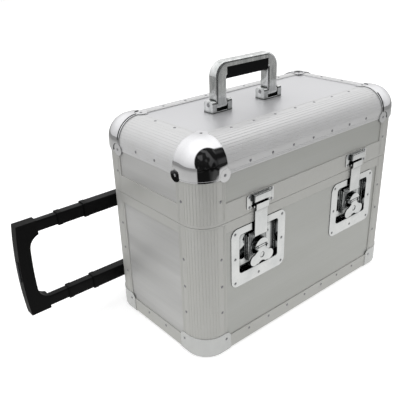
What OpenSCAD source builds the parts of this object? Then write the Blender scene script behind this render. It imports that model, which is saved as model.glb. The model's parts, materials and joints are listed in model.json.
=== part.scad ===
// Hard aluminium travel case for records, with a removable-style hinged lid, two twist latches,
// a folding carry handle, a three-stage trolley handle on the back and two corner wheels.
// The origin is the middle of the case's footprint, on the floor. The latches face -Y and
// the trolley handle pulls out along -X.

/* [Case] */
// Width of the case, left to right
case_w = 465; // [440:1:520]
// Depth of the case, front to back
case_d = 238; // [225:1:300]
// Height of the closed case, without its handle
case_h = 347.5; // [335:0.5:420]
// Height of the seam between base and lid
seam_z = 227; // [224:0.5:240]

/* [Walls and edge profiles] */
// Thickness of the laminated boards
board_t = 7; // [5:0.5:8]
// Wall thickness of the aluminium profiles
skin_t = 1.5; // [1:0.1:2]
// Outer radius of the rounded edge profiles
edge_r = 36.5; // [33:0.5:40]
// How far an edge profile reaches from the corner of the case
edge_reach = 48.5; // [46:0.5:52]
// How far an edge profile's inner flange runs along the board
inner_reach = 8; // [5:0.5:9]
// Radius of each ridge groove in an edge profile
groove_r = 0.35; // [0.25:0.05:0.5]
// Number of ridge grooves round the bend of an edge profile
groove_count = 11; // [5:1:15]
// Height of the bottom angle profiles
bottom_flange = 26; // [20:1:30]
// Thickness of the foam lining
lining_t = 3; // [2:0.5:5]

/* [Seam] */
// Gap between base and lid when the case is closed
seam_gap = 0.6; // [0.4:0.1:1]
// Height of the base's rim bead
base_bead = 2.5; // [2:0.1:3.5]
// Height of the tongue that stands in the lid's groove
tongue_h = 3; // [2:0.1:3.4]
// Thickness of the tongue
tongue_t = 2; // [1.5:0.1:2.2]
// Distance from the outside of the case to the tongue
tongue_in = 4.6; // [4.4:0.1:5]
// How far the base's rim flange reaches down the wall
base_flange = 16.5; // [10:0.5:17]
// How far the lid's rim flange reaches up the wall
lid_flange = 30; // [28:0.5:34]

/* [Corners] */
// Sheet thickness of the bottom corner caps
cap_t = 1.2; // [1:0.1:1.5]
// Height of the bottom corner caps
cap_h = 36; // [32:0.5:37]
// How far a bottom corner cap reaches along the walls
cap_reach = 55; // [52:0.5:58]
// Radius of the case's bottom edge
foot_r = 5.5; // [4:0.5:8]
// How far the ball corners stand proud of the case
ball_proud = 2.5; // [2:0.1:3.5]
// Sheet thickness of the ball corners at their rim
ball_t = 1.4; // [1:0.1:1.6]
// How far a ball corner runs along the case's edges past its dome
ball_run = 15.5; // [13.5:0.5:16]
// Width of the flat rim round a ball corner
ball_rim = 2; // [1:0.5:3]
// Radius of a ball corner's riveted tabs
tab_r = 10; // [8:0.5:11]
// Distance from the end of the bend to the middle of a tab
tab_out = 10.5; // [10:0.5:12]

/* [Rivets] */
// Spacing of the rivets along the long edges
rivet_pitch = 45.4; // [40:0.2:48]
// Number of rivets along a long edge
rivet_count = 7; // [3:2:7]
// Spacing of the two rivets along a short edge
short_pitch = 46.6; // [40:0.2:60]
// Distance of a rivet row from the corner of the case
rivet_inset = 39; // [38.5:0.1:41]
// Height of the rivet row along the bottom edges
low_row_z = 19.6; // [16:0.1:22]
// Height of the lowest rivet on the base's vertical edges
edge_rivet_z = 77.7; // [70:0.1:84]
// Spacing of the three rivets on the base's vertical edges
edge_rivet_pitch = 46.4; // [40:0.1:50]
// Distance of the rivets in the bottom caps from the corner of the case
cap_rivet_in = 45.5; // [43:0.5:47]
// Height of the rivets in the bottom caps
cap_rivet_z = 25; // [22:0.5:28]
// Radius of a rivet head
rivet_r = 2.3; // [1.8:0.1:2.4]
// Height of a rivet head
rivet_h = 0.9; // [0.6:0.1:1.1]

/* [Hinges] */
// Distance from the case's middle to each hinge
hinge_x = 115; // [90:1:150]
// Width of each hinge
hinge_w = 64; // [50:1:80]
// Height of each hinge leaf
leaf_h = 18; // [14:0.5:19]
// Thickness of each hinge leaf
leaf_t = 1.2; // [1:0.1:1.4]
// Radius of the hinge knuckles
knuckle_r = 3; // [2.8:0.1:3.2]
// Radius of the hinge pins
hinge_pin_r = 1.5; // [1.2:0.1:1.7]

/* [Latches] */
// Distance from the side of the case to the middle of each latch
latch_inset = 116.5; // [112:0.5:125]
// Width of a latch dish
dish_w = 116; // [112:0.5:120]
// Height of a latch dish
dish_h = 100; // [96:0.5:102]
// Height of the middle of a latch dish above the floor
dish_z = 159; // [157:0.5:159]
// Width of the recess in a dish
recess_w = 83; // [80:0.5:88]
// Height of the recess in a dish
recess_h = 66; // [64:0.5:68]
// Distance of a dish's screws from its edge
dish_screw_in = 8; // [7:0.5:9]
// Sheet thickness of a dish
dish_t = 1.2; // [1:0.1:1.4]
// Lift of the hook when the wing turns through half a turn
hook_lift = 3; // [2.4:0.2:3.2]
// Radius of the turning disc
disc_r = 15; // [13:0.5:16]
// Width across the butterfly wing
wing_w = 49; // [44:0.5:52]
// Length of the wing from its pivot to the end of its lobes
wing_l = 28; // [25:0.5:29]
// Radius of each lobe of the wing
lobe_r = 9; // [7:0.5:10]
// Width of the hook strap
strap_w = 26; // [22:0.5:28]
// Width of the keeper plate
keeper_w = 56; // [52:0.5:60]
// Height of the keeper plate
keeper_h = 22; // [21:0.5:23]

/* [Carry handle] */
// How far the carry handle sits left of the middle of the lid
handle_off = 32.5; // [0:0.5:60]
// Outside width of the carry handle
handle_w = 135.5; // [120:0.5:160]
// Height of the handle above the top of the case
handle_h = 75; // [65:0.5:90]
// Width of each leg of the handle
leg_w = 22.5; // [18:0.5:23]
// Depth of the handle, front to back
leg_d = 19; // [14:0.5:20]
// Radius of the rounded edges of the handle's bar
leg_round = 4; // [2:0.5:5]
// Outer radius of the handle's two bends
bend_r = 24; // [24:0.5:30]
// Thickness of the handle's metal top bar
bar_t = 9; // [6:0.5:12]
// Height of the rubber grip under the top bar
rubber_h = 19; // [15:0.5:22]
// Width of each handle bracket
bracket_w = 41; // [38:0.5:46]
// Height of each handle bracket
bracket_h = 18.5; // [17:0.5:22]
// Radius of the handle pins
handle_pin_r = 3; // [2:0.5:4]

/* [Trolley handle] */
// Distance from the left side of the case to the mouth of the trolley tubes
mouth_in = 56; // [50:1:70]
// Distance from the right side of the case to the end of the trolley tubes
tube_end_in = 74; // [70:1:90]
// Height of the outermost sliding tube
rail_h = 23.5; // [22:0.5:25]
// Depth of the outermost sliding tube
rail_d = 18; // [16.5:0.1:19]
// Distance between the two rails, middle to middle
rail_pitch = 140.7; // [136:0.1:146]
// Gap from the base's rim flange down to the rail brackets
rail_below = 3.5; // [2:0.5:6]
// Gap from the case's back to the outermost sliding tube
rail_gap = 5; // [4.5:0.5:8]
// Wall thickness of the trolley tubes
tube_t = 0.95; // [0.8:0.05:1.1]
// Running gap between one tube and the next
tube_gap = 0.3; // [0.3:0.05:0.4]
// How far each stage can pull out of the one before it
stage_travel = 185; // [150:1:190]
// How much of a stage stays inside the one before it when it is pulled out
stage_lap = 60; // [40:1:70]
// Thickness of the plates that hold the rails to the case
rail_plate_t = 4; // [3:0.5:4.5]
// Distance from a rail's tube to the screw beside it
rail_screw_in = 12; // [9:0.5:16]
// Length of the collar on the end of a stage
collar_len = 8; // [6:0.5:10]
// Thickness of a collar's sleeve round its tube
collar_t = 0.5; // [0.4:0.1:1]
// How far the first stage stands out of the mouth
ext_1 = 92; // [20:1:150]
// How far the second stage stands out of the first
ext_2 = 39; // [5:1:150]
// How far the third stage stands out of the second
ext_3 = 36; // [5:1:150]
// Wall of the trolley grip round the innermost tubes
grip_wall = 2.2; // [1.6:0.1:3]
// Thickness of the grip bar
grip_t = 21; // [19:0.5:26]
// How far the middle of the grip bar bows outwards
grip_bow = 5; // [2:0.5:7]
// Radius of the corners of the hand space in the grip
grip_fillet = 22; // [11:0.5:24]
// Length of the grip's sockets, from the grip's outer face
socket_l = 34; // [32:0.5:40]
// Length of the release button
button_l = 36; // [24:1:44]
// Width of the release button
button_w = 7; // [5:0.5:8]
// Thickness of the release button
button_t = 8.5; // [7:0.5:9]
// How far the release button stands proud of the grip
button_proud = 1.5; // [1:0.5:2.5]
// How far the release button can be pressed
button_travel = 3; // [2:0.5:4]

/* [Wheels] */
// Radius of each wheel
wheel_r = 25; // [22:0.5:26]
// Width of each wheel
wheel_w = 22; // [16:0.5:24]
// Radius of each axle
axle_r = 3; // [2.5:0.5:4]
// Thickness of the tyre
tyre_t = 6; // [4:0.5:9]
// How far the wheels stand past the right side of the case
wheel_out_x = 6; // [3:0.5:8]
// How far the wheels stand past the back of the case
wheel_out_y = 9; // [5:0.5:12]
// Height of the lower wheel's middle above the floor
wheel_low_z = 57; // [56:0.5:62]
// Distance between the middles of the two wheels
wheel_pitch = 127; // [110:1:128]
// Distance of a housing's screws from its inner edges
housing_screw_in = 4.5; // [4:0.5:6]
// Height of each wheel housing
housing_h = 38; // [34:0.5:38]

/* [Hidden] */

// Clearances: a loose fit, a running fit on a pin, and the space round a part that swings
fit = 0.3;
pin_fit = 0.05;
swing = 0.6;

// Wall of the case, from the outside of a profile to its inner face
wall = 2 * skin_t + board_t;
// Where the profiles end beside a corner
corner_run = edge_r + 1.5;
// Heights of the base's layers
bottom_z = cap_t + skin_t;
floor_z = bottom_z + board_t;
base_top = seam_z - seam_gap / 2 - base_bead;
// Heights of the lid's layers
groove_depth = tongue_h + swing;
lid_bottom = seam_z + seam_gap / 2 + groove_depth + 0.9;
// The groove in the lid's rim, measured from the outside of the case
groove_out = tongue_in - 0.7;
groove_in = tongue_in + tongue_t + 1.4;
// Depth of the foam lining's inner space in the lid and base
lining_out = wall + 0.2;

// The hinge axis lies behind the case, level with the seam
hinge_back = knuckle_r + fit;

// Latch: depths are measured into the case from its front plane
face_y = skin_t;
recess_z = dish_z + 5;
dish_floor = wall - dish_t - 0.1;
hub_z = recess_z + 1;
disc_y = face_y + 0.1;
disc_t = 2;
cam_r = 8;
cam_y = disc_y + disc_t;
cam_t = 3;
cam_off = hook_lift / 2;
window_slack = 0.45;
carrier_y = cam_y + swing;
carrier_t = 2;
spindle_r = 4;
hook_pivot_z = recess_z + recess_h / 2 - 11;
hook_pivot_y = -0.8;
hook_pin_r = 1.5;
hook_eye_r = 2.6;
strap_t = 1.6;
strap_y = hook_pivot_y - hook_eye_r;
wing_t = 2.2;
wing_y = strap_y - swing - wing_t;
wing_pin_r = 1.5;
ear_x = 8.5;
ear_t = 2.5;
ear_r = 3;
keeper_t = 1.2;
keeper_z = seam_z + 17.5;
hook_top = keeper_z - 5;
hook_jog = 2.8;
catch_w = 33;

// Carry handle: the pin's height, and where the legs stand
lid_face = case_h - skin_t;
handle_pin_z = lid_face + leg_d / 2 + 3;
bracket_foot = 2.4;
leg_x = handle_w / 2 - leg_w / 2;
bracket_d = leg_d + 1.5;
slot_gap = 0.5;

// Trolley: places of the rails and the outer ends of the stages in the pulled-out pose
mouth_x = -case_w / 2 + mouth_in;
rail_y = case_d / 2 + rail_gap + rail_d / 2;
step = tube_t + tube_gap;
outer_h = rail_h + 2 * step;
outer_d = rail_d + 2 * step;
bracket_wall = 2.6;
block_h = outer_h + 2 * bracket_wall;
rail_mid_z = seam_z - base_flange - rail_below - block_h / 2 - rail_pitch / 2;
rail_zs = [rail_mid_z - rail_pitch / 2, rail_mid_z + rail_pitch / 2];
// The grip closes round the innermost tubes
grip_h = rail_pitch + rail_h - 4 * step + 2 * grip_wall;
grip_d = rail_d - 4 * step + 2 * grip_wall;
tube_corner = 2;
stage_len = stage_travel + stage_lap + collar_len;
end_1 = mouth_x - ext_1 - collar_len;
end_2 = end_1 - ext_2 - collar_len;
end_3 = end_2 - ext_3;
grip_out = end_3 - socket_l;
socket_depth = 14;
collar_lip = 1.5;
bracket_x = 26;
tube_end_x = case_w / 2 - tube_end_in;
back_face = case_d / 2 - skin_t;

// Wheels: the axle's place, and the housing that fills the notch in the corner
wheel_x = case_w / 2 + wheel_out_x - wheel_r;
wheel_y = case_d / 2 + wheel_out_y - wheel_r;
wheel_zs = [wheel_low_z, wheel_low_z + wheel_pitch];
housing_x = wheel_r + 9.5 + (case_w / 2 - wheel_x);
housing_y = wheel_r + 9 + (case_d / 2 - wheel_y);
wheel_swing = 2;
foot_inset = 64;
foot_w = 26;

// Fineness of the circles
smooth = 96;
small = 48;

// Plain 2D shapes

module round_rect(w, h, r) {
    square([w - 2 * r, h], center = true);
    square([w, h - 2 * r], center = true);
    for (x = [-1, 1], y = [-1, 1])
        translate([x * (w / 2 - r), y * (h / 2 - r)]) circle(r = r, $fn = small);
}

// The case seen from above, drawn in by a distance
module outline(inset) {
    w = case_w - 2 * inset;
    d = case_d - 2 * inset;
    r = edge_r - inset;
    square([w - 2 * r, d], center = true);
    square([w, d - 2 * r], center = true);
    for (x = [-1, 1], y = [-1, 1])
        translate([x * (w / 2 - r), y * (d / 2 - r)]) circle(r = r, $fn = smooth);
}

module outline_ring(from, to) {
    difference() {
        outline(from);
        outline(to);
    }
}

module ring_2d(outer, inner) {
    difference() {
        circle(r = outer, $fn = smooth);
        circle(r = inner, $fn = smooth);
    }
}

// Placing helpers

// A flat shape drawn in x and z, as thick as from y0 to y1
module in_depth(y0, y1) {
    translate([0, y1, 0]) rotate([90, 0, 0]) linear_extrude(y1 - y0) children();
}

// A flat shape drawn in y and z, as wide as w about x = 0
module in_width(w) {
    translate([-w / 2, 0, 0]) rotate([90, 0, 90]) linear_extrude(w) children();
}

// The four vertical edges: the children's corner is at the origin, with the case at +x and +y
module four_corners() {
    for (sx = [0, 1], sy = [0, 1])
        mirror([sx, 0, 0]) mirror([0, sy, 0]) translate([-case_w / 2, -case_d / 2, 0]) children();
}

// The front and the back: the children's outside is the plane y = 0, with the case at +y
module front_and_back() {
    for (sy = [0, 1]) mirror([0, sy, 0]) translate([0, -case_d / 2, 0]) children();
}

// The left and the right: the children's outside is the plane x = 0, with the case at +x
module left_and_right() {
    for (sx = [0, 1]) mirror([sx, 0, 0]) translate([-case_w / 2, 0, 0]) children();
}

module front_at(x, z, out = 0) {
    translate([x, -case_d / 2 - out, z]) rotate([90, 0, 0]) children();
}

module back_at(x, z, out = 0) {
    translate([x, case_d / 2 + out, z]) rotate([-90, 0, 0]) children();
}

module side_at(side, y, z, out = 0) {
    translate([side * (case_w / 2 + out), y, z]) rotate([0, side * 90, 0]) children();
}

// Fasteners

module rivet(r = rivet_r, h = rivet_h) {
    ball = (r * r + h * h) / (2 * h);
    intersection() {
        translate([0, 0, h - ball]) sphere(r = ball, $fn = small);
        cylinder(r = r + 1, h = h + 1, $fn = small);
    }
}

module screw_head() {
    rivet(r = 2.7, h = 1.1);
}

// The rivets along the long edges
function long_rivets() = [for (i = [0:rivet_count - 1]) (i - (rivet_count - 1) / 2) * rivet_pitch];

// Edge profiles

// Section of a rounded, ridged edge profile: two skins that grip the boards, joined by webs
module edge_section() {
    difference() {
        union() {
            intersection() {
                translate([edge_r, edge_r]) union() {
                    ring_2d(edge_r, edge_r - skin_t);
                    ring_2d(edge_r - skin_t - board_t, edge_r - wall);
                }
                square([edge_r, edge_r]);
            }
            for (swap = [0, 1]) mirror([swap, -swap, 0]) {
                translate([edge_r - skin_t, 0]) square([skin_t, wall]);
                translate([edge_r, 0]) square([edge_reach - edge_r, skin_t]);
                translate([edge_r, wall - skin_t]) square([inner_reach, skin_t]);
            }
        }
        for (i = [1:groove_count])
            translate([edge_r, edge_r]) rotate(180 + 90 * i / (groove_count + 1))
                translate([edge_r, 0]) circle(r = groove_r, $fn = 24);
        for (swap = [0, 1], x = [3, 5.5]) mirror([swap, -swap, 0])
            translate([edge_reach - x, 0]) circle(r = groove_r, $fn = 24);
    }
}

// Section of a bottom angle profile
module angle_section() {
    r = foot_r - cap_t;
    difference() {
        union() {
            square([skin_t, bottom_flange]);
            square([bottom_flange, skin_t]);
        }
        difference() {
            square(r);
            translate([r, r]) circle(r = r, $fn = small);
        }
    }
}

// Notches for the wheel housings, in the back right corner of the base
module wheel_notches(slack = 0) {
    for (z = wheel_zs)
        translate([case_w / 2 - housing_x - slack, case_d / 2 - housing_y - slack,
                   z - housing_h / 2 - slack])
            cube([housing_x + 10, housing_y + 10, housing_h + 2 * slack]);
}

// Base

module latch_cutouts() {
    for (side = [-1, 1])
        translate([side * (case_w / 2 - latch_inset), -case_d / 2, recess_z])
            in_depth(-1, wall + 1)
                round_rect(recess_w + 2 * dish_t + fit, recess_h + 2 * dish_t + fit, 6);
}

module base_front_panel() {
    color("gainsboro") difference() {
        translate([-case_w / 2 + edge_r, -case_d / 2 + skin_t, floor_z])
            cube([case_w - 2 * edge_r, board_t, base_top - floor_z]);
        latch_cutouts();
    }
}

module base_back_panel() {
    color("gainsboro") difference() {
        translate([-case_w / 2 + edge_r, case_d / 2 - skin_t - board_t, floor_z])
            cube([case_w - 2 * edge_r, board_t, base_top - floor_z]);
        wheel_notches();
    }
}

module base_side_panels() {
    color("gainsboro") difference() {
        left_and_right() translate([skin_t, -case_d / 2 + edge_r, floor_z])
            cube([board_t, case_d - 2 * edge_r, base_top - floor_z]);
        wheel_notches();
    }
}

module base_bottom_panel() {
    color("gainsboro") translate([0, 0, bottom_z]) linear_extrude(board_t) outline(skin_t);
}

module base_corner_profiles() {
    flange_z = cap_t + bottom_flange;
    color("silver") difference() {
        four_corners() difference() {
            translate([0, 0, floor_z]) linear_extrude(base_top - floor_z) edge_section();
            // the flanges stop above the bottom angles
            translate([edge_r, -1, 0]) cube([edge_reach, skin_t + 1, flange_z]);
            translate([-1, edge_r, 0]) cube([skin_t + 1, edge_reach, flange_z]);
        }
        wheel_notches();
    }
}

module base_bottom_profiles() {
    long = case_w - 2 * corner_run;
    short = case_d - 2 * corner_run;
    color("silver") {
        front_and_back() translate([0, 0, cap_t]) in_width(long) angle_section();
        left_and_right() translate([0, short / 2, cap_t])
            rotate([90, 0, 0]) linear_extrude(short) angle_section();
    }
}

// Straight flanges of a rim, outside and inside the boards, between the corner profiles
module rim_flanges(z0, z1, inner_z0, inner_z1) {
    long_out = case_w - 2 * edge_reach;
    short_out = case_d - 2 * edge_reach;
    long_in = case_w - 2 * (edge_r + inner_reach);
    short_in = case_d - 2 * (edge_r + inner_reach);
    front_and_back() {
        translate([-long_out / 2, 0, z0]) cube([long_out, skin_t, z1 - z0]);
        translate([-long_in / 2, wall - skin_t, inner_z0])
            cube([long_in, skin_t, inner_z1 - inner_z0]);
    }
    left_and_right() {
        translate([0, -short_out / 2, z0]) cube([skin_t, short_out, z1 - z0]);
        translate([wall - skin_t, -short_in / 2, inner_z0])
            cube([skin_t, short_in, inner_z1 - inner_z0]);
    }
}

module base_rim() {
    top = seam_z - seam_gap / 2;
    low = seam_z - base_flange;
    color("silver") {
        translate([0, 0, base_top]) linear_extrude(base_bead) outline_ring(0, wall);
        translate([0, 0, top]) linear_extrude(tongue_h)
            outline_ring(tongue_in, tongue_in + tongue_t);
        rim_flanges(low, base_top, low, base_top);
    }
}

// Bottom corner caps: a bent sheet wraps the corner, with rounded riveted ends

module cap_section(r_out, rb, h) {
    square([r_out - rb, h]);
    translate([0, rb]) square([r_out, h - rb]);
    translate([r_out - rb, rb]) circle(r = rb, $fn = small);
}

// The sheet's section from the middle of the bend outwards
module cap_sheet_section() {
    difference() {
        cap_section(edge_r + cap_t, foot_r, cap_h);
        translate([0, cap_t]) cap_section(edge_r, foot_r - cap_t, cap_h);
    }
}

// A straight wing of the cap along +x, rounded at its upper end
module cap_wing() {
    run = cap_reach - edge_r;
    end_r = 10;
    intersection() {
        translate([0, edge_r, 0]) mirror([0, 1, 0]) rotate([90, 0, 90])
            linear_extrude(run) cap_sheet_section();
        in_depth(-cap_t - 1, edge_r) {
            square([run - end_r, cap_h]);
            square([run, cap_h - end_r]);
            translate([run - end_r, cap_h - end_r]) circle(r = end_r, $fn = small);
        }
    }
}

module base_corner_caps() {
    run = cap_reach - edge_r;
    color("lightgray") four_corners() {
        translate([edge_r, edge_r, 0]) rotate([0, 0, 180])
            rotate_extrude(angle = 90, $fn = smooth) cap_sheet_section();
        translate([edge_r, 0, 0]) cap_wing();
        mirror([1, -1, 0]) translate([edge_r, 0, 0]) cap_wing();
        translate([edge_r, edge_r, 0]) linear_extrude(cap_t) intersection() {
            square([run, run]);
            circle(r = run, $fn = smooth);
        }
    }
}

module base_rivets() {
    row_z = low_row_z;
    zs = [for (i = [0:2]) edge_rivet_z + i * edge_rivet_pitch];
    cap_x = cap_rivet_in;
    cap_z = cap_rivet_z;
    color("dimgray") {
        for (x = long_rivets()) {
            front_at(x, row_z) rivet();
            back_at(x, row_z) rivet();
        }
        for (side = [-1, 1]) {
            for (y = [-1, 1]) side_at(side, y * short_pitch / 2, row_z) rivet();
            for (z = zs) {
                front_at(side * (case_w / 2 - rivet_inset), z) rivet();
                side_at(side, -case_d / 2 + rivet_inset, z) rivet();
            }
            front_at(side * (case_w / 2 - cap_x), cap_z, cap_t) rivet();
            back_at(side * (case_w / 2 - cap_x), cap_z, cap_t) rivet();
            for (y = [-1, 1]) side_at(side, y * (case_d / 2 - cap_x), cap_z, cap_t) rivet();
            // the hinges' rivets in the base
            for (x = [-1, 1])
                back_at(side * hinge_x + x * hinge_w / 3, seam_z - leaf_h * 0.62, leaf_t) rivet();
        }
        for (z = zs) {
            back_at(-case_w / 2 + rivet_inset, z) rivet();
            side_at(-1, case_d / 2 - rivet_inset, z) rivet();
        }
        // the right back edge has its rivet between the wheel housings
        back_at(case_w / 2 - rivet_inset, zs[1]) rivet();
        side_at(1, case_d / 2 - rivet_inset, zs[1]) rivet();
    }
}

module base_lining() {
    top = seam_z - base_flange + 2;
    color("dimgray") difference() {
        union() {
            translate([0, 0, floor_z]) linear_extrude(lining_t) outline(lining_out);
            translate([0, 0, floor_z]) linear_extrude(top - floor_z)
                outline_ring(lining_out, lining_out + lining_t);
        }
        wheel_notches(fit);
    }
}

// Rubber feet on the right side, level with the wheels, for when the case stands on end
module side_feet() {
    foot = wheel_out_x + skin_t;
    color("black") for (z = wheel_zs)
        translate([case_w / 2 - skin_t, -case_d / 2 + foot_inset, z]) rotate([0, 90, 0])
            cylinder(r1 = foot_w / 2, r2 = foot_w / 2 - 2, h = foot, $fn = small);
}

// Lid

module lid_top_panel() {
    color("whitesmoke")
        translate([-case_w / 2 + edge_r, -case_d / 2 + edge_r, case_h - skin_t - board_t])
            cube([case_w - 2 * edge_r, case_d - 2 * edge_r, board_t]);
}

module lid_front_panel() {
    color("gainsboro") translate([-case_w / 2 + edge_r, -case_d / 2 + skin_t, lid_bottom])
        cube([case_w - 2 * edge_r, board_t, case_h - edge_r - lid_bottom]);
}

module lid_back_panel() {
    color("gainsboro")
        translate([-case_w / 2 + edge_r, case_d / 2 - skin_t - board_t, lid_bottom])
            cube([case_w - 2 * edge_r, board_t, case_h - edge_r - lid_bottom]);
}

module lid_side_panels() {
    color("gainsboro") left_and_right() translate([skin_t, -case_d / 2 + edge_r, lid_bottom])
        cube([board_t, case_d - 2 * edge_r, case_h - edge_r - lid_bottom]);
}

module lid_edge_profiles() {
    long = case_w - 2 * corner_run;
    // the side profiles butt against the flanges of the long ones
    short = case_d - 2 * edge_reach - 2 * ball_gap;
    color("silver") {
        front_and_back() translate([-long / 2, 0, case_h]) rotate([0, 90, 0])
            linear_extrude(long) edge_section();
        left_and_right() translate([0, short / 2, case_h]) rotate([0, 0, -90])
            rotate([0, 90, 0]) linear_extrude(short) edge_section();
    }
}

module lid_corner_profiles() {
    color("silver") four_corners() translate([0, 0, lid_bottom])
        linear_extrude(case_h - edge_reach - lid_bottom) edge_section();
}

module lid_rim() {
    low = seam_z + seam_gap / 2;
    inner_high = seam_z + 20;
    color("silver") {
        difference() {
            translate([0, 0, low]) linear_extrude(lid_bottom - low) outline_ring(0, wall);
            translate([0, 0, low - 1]) linear_extrude(groove_depth + 1)
                outline_ring(groove_out, groove_in);
        }
        rim_flanges(lid_bottom, seam_z + lid_flange, lid_bottom, inner_high);
    }
}

// Ball corner, drawn about the middle of the bend, with its outside at -x, -y and -z.
// A dome meets three quarter sleeves and three flat flanges, each with a round riveted tab.
ball_gap = 0.1;
ball_slope = [
    [ball_gap, 0], [ball_proud, 0], [ball_proud, ball_run - ball_rim - 1],
    [ball_t, ball_run - ball_rim], [ball_t, ball_run], [ball_gap, ball_run]
];
tab_in = edge_r + tab_out;

module ball_sleeve() {
    rotate_extrude(angle = 90, $fn = smooth)
        polygon([for (p = ball_slope) [edge_r + p[0], p[1]]]);
}

module ball_flange() {
    // the bulge stops short of the tab all round
    difference() {
        rotate_extrude(angle = 90, $fn = smooth) polygon([for (p = ball_slope) [p[1], p[0]]]);
        translate([tab_in - edge_r, tab_in - edge_r, ball_t])
            cylinder(r = tab_r + 0.4, h = ball_proud, $fn = small);
    }
    translate([tab_in - edge_r, tab_in - edge_r, ball_gap])
        cylinder(r = tab_r, h = ball_t - ball_gap, $fn = small);
}

module ball_corner() {
    span = 2 * edge_r;
    intersection() {
        difference() {
            sphere(r = edge_r + ball_proud, $fn = smooth);
            sphere(r = edge_r + ball_proud - ball_t, $fn = smooth);
        }
        translate([-span, -span, -span]) cube(span);
    }
    rotate([0, 90, 0]) rotate([0, 0, 270]) ball_sleeve();
    rotate([-90, 0, 0]) rotate([0, 0, 90]) ball_sleeve();
    rotate([0, 0, 180]) ball_sleeve();
    translate([0, 0, -edge_r]) mirror([0, 0, 1]) ball_flange();
    translate([0, -edge_r, 0]) rotate([90, 0, 0]) ball_flange();
    translate([-edge_r, 0, 0]) rotate([0, -90, 0]) ball_flange();
}

module ball_corners() {
    color("white") four_corners() translate([edge_r, edge_r, case_h - edge_r])
        mirror([0, 0, 1]) ball_corner();
}

module lid_rivets() {
    row_z = case_h - rivet_inset;
    side_z = (seam_z + case_h - edge_reach) / 2;
    color("dimgray") {
        for (x = long_rivets()) {
            front_at(x, row_z) rivet();
            back_at(x, row_z) rivet();
            for (y = [-1, 1])
                translate([x, y * (case_d / 2 - rivet_inset), case_h]) rivet();
        }
        for (side = [-1, 1]) {
            for (y = [-1, 1]) {
                side_at(side, y * short_pitch / 2, row_z) rivet();
                side_at(side, y * (case_d / 2 - rivet_inset), side_z) rivet();
                side_at(side, y * (case_d / 2 - tab_in), case_h - tab_in, ball_t) rivet();
                translate([side * (case_w / 2 - rivet_inset), y * short_pitch / 2, case_h]) rivet();
                translate([side * (case_w / 2 - tab_in), y * (case_d / 2 - tab_in),
                           case_h + ball_t]) rivet();
            }
            front_at(side * (case_w / 2 - rivet_inset), side_z) rivet();
            back_at(side * (case_w / 2 - rivet_inset), side_z) rivet();
            front_at(side * (case_w / 2 - tab_in), case_h - tab_in, ball_t) rivet();
            back_at(side * (case_w / 2 - tab_in), case_h - tab_in, ball_t) rivet();
            // the hinges' rivets in the lid
            for (x = [-1, 1])
                back_at(side * hinge_x + x * hinge_w / 3, seam_z + leaf_h * 0.62, leaf_t) rivet();
        }
    }
}

// The lid's lining is a tray with a rounded outside that follows the profiles' inner bend
module lid_lining() {
    r = edge_r - lining_out;
    top = case_h - lining_out;
    x0 = case_w / 2 - edge_r;
    y0 = case_d / 2 - edge_r;
    z0 = case_h - edge_r;
    low = lid_bottom + 2;
    color("dimgray") {
        translate([-x0, -y0, top - lining_t]) cube([2 * x0, 2 * y0, lining_t]);
        translate([0, 0, low]) linear_extrude(z0 - low)
            outline_ring(lining_out, lining_out + lining_t);
        for (sx = [0, 1], sy = [0, 1])
            mirror([sx, 0, 0]) mirror([0, sy, 0]) translate([x0, y0, z0])
                rotate_extrude(angle = 90, $fn = smooth) intersection() {
                    ring_2d(r, r - lining_t);
                    square(r);
                }
        for (sy = [0, 1]) mirror([0, sy, 0]) translate([0, y0, z0]) in_width(2 * x0)
            intersection() {
                ring_2d(r, r - lining_t);
                square(r);
            }
        for (sx = [0, 1]) mirror([sx, 0, 0]) translate([x0, y0, z0]) rotate([90, 0, 0])
            linear_extrude(2 * y0) intersection() {
                ring_2d(r, r - lining_t);
                square(r);
            }
    }
}

// Hinges

knuckle_gap = 0.4;
knuckle_w = hinge_w / 5;

module at_hinges() {
    for (side = [-1, 1])
        translate([side * hinge_x, case_d / 2 + hinge_back, seam_z]) children();
}

// One leaf about the hinge axis: the plate hangs on the knuckles in the list
module hinge_leaf(knuckles, up) {
    others = [for (i = [0:4]) if (len([for (k = knuckles) if (k == i) k]) == 0) i];
    difference() {
        union() {
            translate([-hinge_w / 2, -hinge_back, up > 0 ? 0 : -leaf_h])
                cube([hinge_w, leaf_t, leaf_h]);
            for (k = knuckles)
                translate([-hinge_w / 2 + k * knuckle_w, 0, 0]) rotate([0, 90, 0])
                    cylinder(r = knuckle_r, h = knuckle_w, $fn = small);
        }
        for (k = others)
            translate([-hinge_w / 2 + k * knuckle_w - knuckle_gap / 2, -hinge_back - 1,
                       -knuckle_r - swing])
                cube([knuckle_w + knuckle_gap, hinge_back + knuckle_r + 2,
                      2 * (knuckle_r + swing)]);
        translate([-hinge_w, 0, 0]) rotate([0, 90, 0])
            cylinder(r = hinge_pin_r + pin_fit, h = 2 * hinge_w, $fn = small);
    }
}

module hinge_base_leaves() {
    color("silver") at_hinges() hinge_leaf([0, 2, 4], -1);
}

module hinge_lid_leaves() {
    color("silver") at_hinges() hinge_leaf([1, 3], 1);
}

module hinge_pins() {
    color("gray") at_hinges() translate([-hinge_w / 2 - 0.5, 0, 0]) rotate([0, 90, 0])
        cylinder(r = hinge_pin_r, h = hinge_w + 1, $fn = small);
}

// Latches, drawn about the middle of a latch in the front plane

left_latch_x = -case_w / 2 + latch_inset;
right_latch_x = case_w / 2 - latch_inset;

module at_latch(x) {
    translate([x, -case_d / 2, 0]) children();
}

// Slot in the dish floor's guides for the carrier
guide_t = 2;
carrier_w = 34;
hook_ear_t = 3;
hook_ear_x = strap_w / 2 + fit;

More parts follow.
